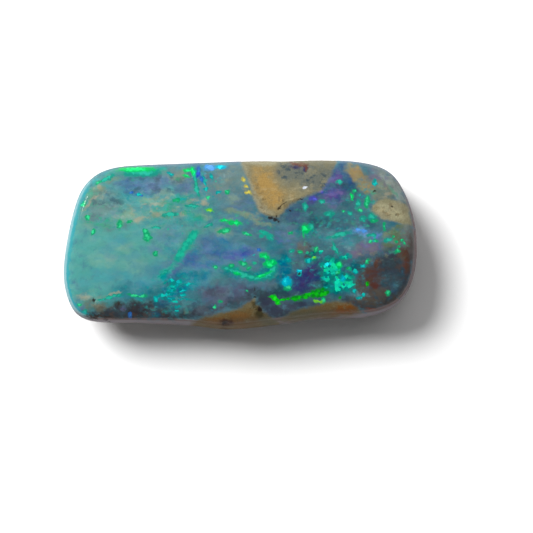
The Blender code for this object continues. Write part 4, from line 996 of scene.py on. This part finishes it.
def polishedOpal():
    # Precious opal in ironstone matrix, cut and polished: a glassy face with a faint waxy softness
    material = bpy.data.materials.new("polishedOpal")
    material.use_nodes = True
    tree = material.node_tree
    shader = tree.nodes["Principled BSDF"]
    texture = addNode(tree, "ShaderNodeTexCoord")
    normal = texture.outputs["Normal"]
    place = addNode(
        tree, "ShaderNodeVectorMath", {0: texture.outputs["Object"], "Scale": stoneShape["faceGrow"] / mm},
        operation="SCALE",
    )
    place = addNode(
        tree, "ShaderNodeVectorMath", {0: place, 1: (0, stoneShape["faceShift"], 0)}, operation="ADD"
    )

    # the body colours wander widely, and the edges of the flashes and the matrix only a little
    fieldPlace = warped(tree, place, finish["fieldWarpSize"], finish["fieldWarp"])
    fieldPlace = warped(tree, fieldPlace, finish["featherSize"], finish["featherWarp"])
    flatField = addNode(tree, "ShaderNodeMapping", {"Vector": fieldPlace, "Scale": flatten})
    edgePlace = warped(tree, place, finish["edgeWarpSize"], finish["edgeWarp"])
    flatEdge = addNode(tree, "ShaderNodeMapping", {"Vector": edgePlace, "Scale": flatten})
    domains = addNode(tree, "ShaderNodeTexVoronoi", {"Vector": edgePlace, "Scale": 1 / finish["facetSize"]})
    facetPlace = addNode(
        tree, "ShaderNodeMix", {0: finish["facetPull"], 4: edgePlace, 5: domains.outputs["Position"]},
        data_type="VECTOR",
    )
    flatFacet = addNode(tree, "ShaderNodeMapping", {"Vector": facetPlace, "Scale": flatten})
    sparkle = addNode(tree, "ShaderNodeSeparateColor", {0: domains.outputs["Color"]})
    mottle = addNode(
        tree, "ShaderNodeTexNoise",
        {"Vector": edgePlace, "Scale": 1 / finish["mottleSize"], "Detail": 4.0, "Roughness": 0.65},
    )
    mottle = addNode(
        tree, "ShaderNodeMapRange", {"Value": mottle, **spread(noiseRange, finish["mottleRange"])},
        clamp=False,
    )

    face = layColours(tree, flatField, mottle, linear(finish["opal"]), bodyLayers)
    face = layFlecks(tree, edgePlace, flatField, face, bodyFlecks)
    face = clouded(tree, fieldPlace, face)
    face = layFlashes(tree, flatFacet, sparkle, face, flashes)
    face = mosaicked(tree, flatEdge, sparkle, face)
    face = pinfire(tree, edgePlace, flatEdge, face)
    # painted reflection and shade on the rounded edge, by the side that it faces
    face = paintRimShadeAndReflection(tree, place, normal, mottle, face)
    rock = sandstone(tree, place, flatField, edgePlace, mottle)
    inMatrix = matrixShare(tree, place)
    face = addNode(tree, "ShaderNodeMix", {0: inMatrix, 6: face, 7: rock}, data_type="RGBA")

    # the quartz grain is painted near white as a highlight, and takes the opal's polish
    inQuartzGlint = closestOf(tree, flatEdge, quartzGrainsPaintedGlint)
    inQuartzGlint = addNode(
        tree, "ShaderNodeMapRange", {"Value": inQuartzGlint, **rampUp(*finish["quartzGlintRamp"])}, **softly
    )
    quartzGlintWhite, iron = linear(finish["quartzGlintWhite"]), linear(finish["iron"])
    face = addNode(tree, "ShaderNodeMix", {0: inQuartzGlint, 6: face, 7: quartzGlintWhite}, data_type="RGBA")
    inIron = closestOf(tree, flatFacet, ironGrains)
    inIron = addNode(tree, "ShaderNodeMapRange", {"Value": inIron, **rampUp(*finish["ironRamp"])}, **softly)
    face = addNode(tree, "ShaderNodeMix", {0: inIron, 6: face, 7: iron}, data_type="RGBA")

    inSeam = seamShare(tree, place)
    side = ironstoneSides(tree, place)
    colour = addNode(tree, "ShaderNodeMix", {0: inSeam, 6: side, 7: face}, data_type="RGBA")
    colour = addNode(tree, "ShaderNodeHueSaturation", {"Value": finish["depth"], "Color": colour})
    tree.links.new(colour.outputs[0], shader.inputs["Base Color"])

    # the opal takes the brightest polish, the iron almost none
    roughness = addNode(
        tree, "ShaderNodeMapRange",
        {"Value": inMatrix, "To Min": finish["opalRoughness"], "To Max": finish["matrixRoughness"]},
        clamp=False,
    )
    roughness = addNode(tree, "ShaderNodeMix", {0: inQuartzGlint, 2: roughness, 3: finish["opalRoughness"]})
    ironMatte = addNode(tree, "ShaderNodeMath", {0: inIron, 1: finish["ironRoughness"]}, operation="MULTIPLY")
    roughness = addNode(tree, "ShaderNodeMath", {0: roughness, 1: ironMatte}, operation="MAXIMUM")

    # only the face is polished: the sides and the back are ground matte
    level = addNode(tree, "ShaderNodeSeparateXYZ", {0: normal}).outputs["Z"]
    ground = addNode(
        tree, "ShaderNodeMapRange",
        {"Value": level, **spread(finish["polishedFrom"], (finish["groundRoughness"], 0.0))},
    )
    roughness = addNode(tree, "ShaderNodeMath", {0: roughness, 1: ground}, operation="MAXIMUM")
    gloss = addNode(
        tree, "ShaderNodeMapRange",
        {"Value": level, **spread(finish["polishedFrom"], (finish["groundGloss"], finish["faceGloss"]))},
    )
    tree.links.new(gloss.outputs[0], shader.inputs["Specular IOR Level"])
    tree.links.new(roughness.outputs[0], shader.inputs["Roughness"])
    shader.inputs["IOR"].default_value = finish["opalIor"]
    print("opal finished,", len(tree.nodes), "nodes")
    return material


def buildStudio():
    half = studio["photoPixels"] / 2
    offX = (half - studio["stoneAtPixel"][0]) / studio["pixelsPerMm"]
    offY = (studio["stoneAtPixel"][1] - half) / studio["pixelsPerMm"]
    tilt = math.radians(studio["elevation"])
    toCamera = Vector((0, -math.cos(tilt), math.sin(tilt)))
    acrossView = Vector((0, math.sin(tilt), math.cos(tilt)))
    aim = Vector((offX, 0, studio["outlineHeight"])) + acrossView * offY
    distance = studio["photoPixels"] / studio["pixelsPerMm"] * studio["lens"] / studio["sensor"]
    cameraData = bpy.data.cameras.new("camera")
    cameraData.lens = studio["lens"]
    cameraData.sensor_width = studio["sensor"]
    cameraData.clip_start = studio["clipStart"]
    camera = bpy.data.objects.new("camera", cameraData)
    camera.location = (aim + toCamera * distance) * mm
    camera.rotation_euler = (math.radians(90 - studio["elevation"]), 0, 0)
    bpy.context.scene.collection.objects.link(camera)
    bpy.context.scene.camera = camera

    for name, box in studio["softboxes"].items():
        sunData = bpy.data.lights.new(name, "SUN")
        sunData.energy = box["strength"]
        sunData.angle = math.radians(box["size"])
        sun = bpy.data.objects.new(name, sunData)
        up, around = math.radians(box["elevation"]), math.radians(box["azimuth"])
        fromLight = Vector((math.cos(up) * math.cos(around), math.cos(up) * math.sin(around), math.sin(up)))
        sun.rotation_euler = fromLight.to_track_quat("Z", "Y").to_euler()
        sun.visible_glossy = box["inGloss"]  # only the small glint shows as a highlight
        bpy.context.scene.collection.objects.link(sun)

    edit = bmesh.new()
    bmesh.ops.create_grid(edit, x_segments=1, y_segments=1, size=studio["floorSize"] / 2 * mm)
    floorMesh = bpy.data.meshes.new("floor")
    edit.to_mesh(floorMesh)
    edit.free()
    floor = bpy.data.objects.new("floor", floorMesh)
    bpy.context.scene.collection.objects.link(floor)
    paper = bpy.data.materials.new("whitePaper")
    paper.use_nodes = True
    shader = paper.node_tree.nodes["Principled BSDF"]
    shader.inputs["Base Color"].default_value = linear(studio["floorColour"])
    shader.inputs["Roughness"].default_value = studio["floorRoughness"]
    shader.inputs["Specular IOR Level"].default_value = 0.0
    floorMesh.materials.append(paper)

    world = bpy.data.worlds.new("studio")
    bpy.context.scene.world = world
    world.use_nodes = True
    tree = world.node_tree
    direction = addNode(tree, "ShaderNodeTexCoord").outputs["Generated"]
    upward = addNode(tree, "ShaderNodeSeparateXYZ", {0: direction}).outputs["Z"]
    light = addNode(
        tree, "ShaderNodeMapRange",
        {"Value": upward, "To Min": studio["horizonLight"], "To Max": studio["overheadLight"]},
    )
    tree.links.new(light.outputs[0], tree.nodes["Background"].inputs["Strength"])
    tree.nodes["Background"].inputs["Color"].default_value = (1, 1, 1, 1)
    bpy.context.scene.view_settings.view_transform = "Standard"
    print("studio set")


buildStone()
buildStudio()
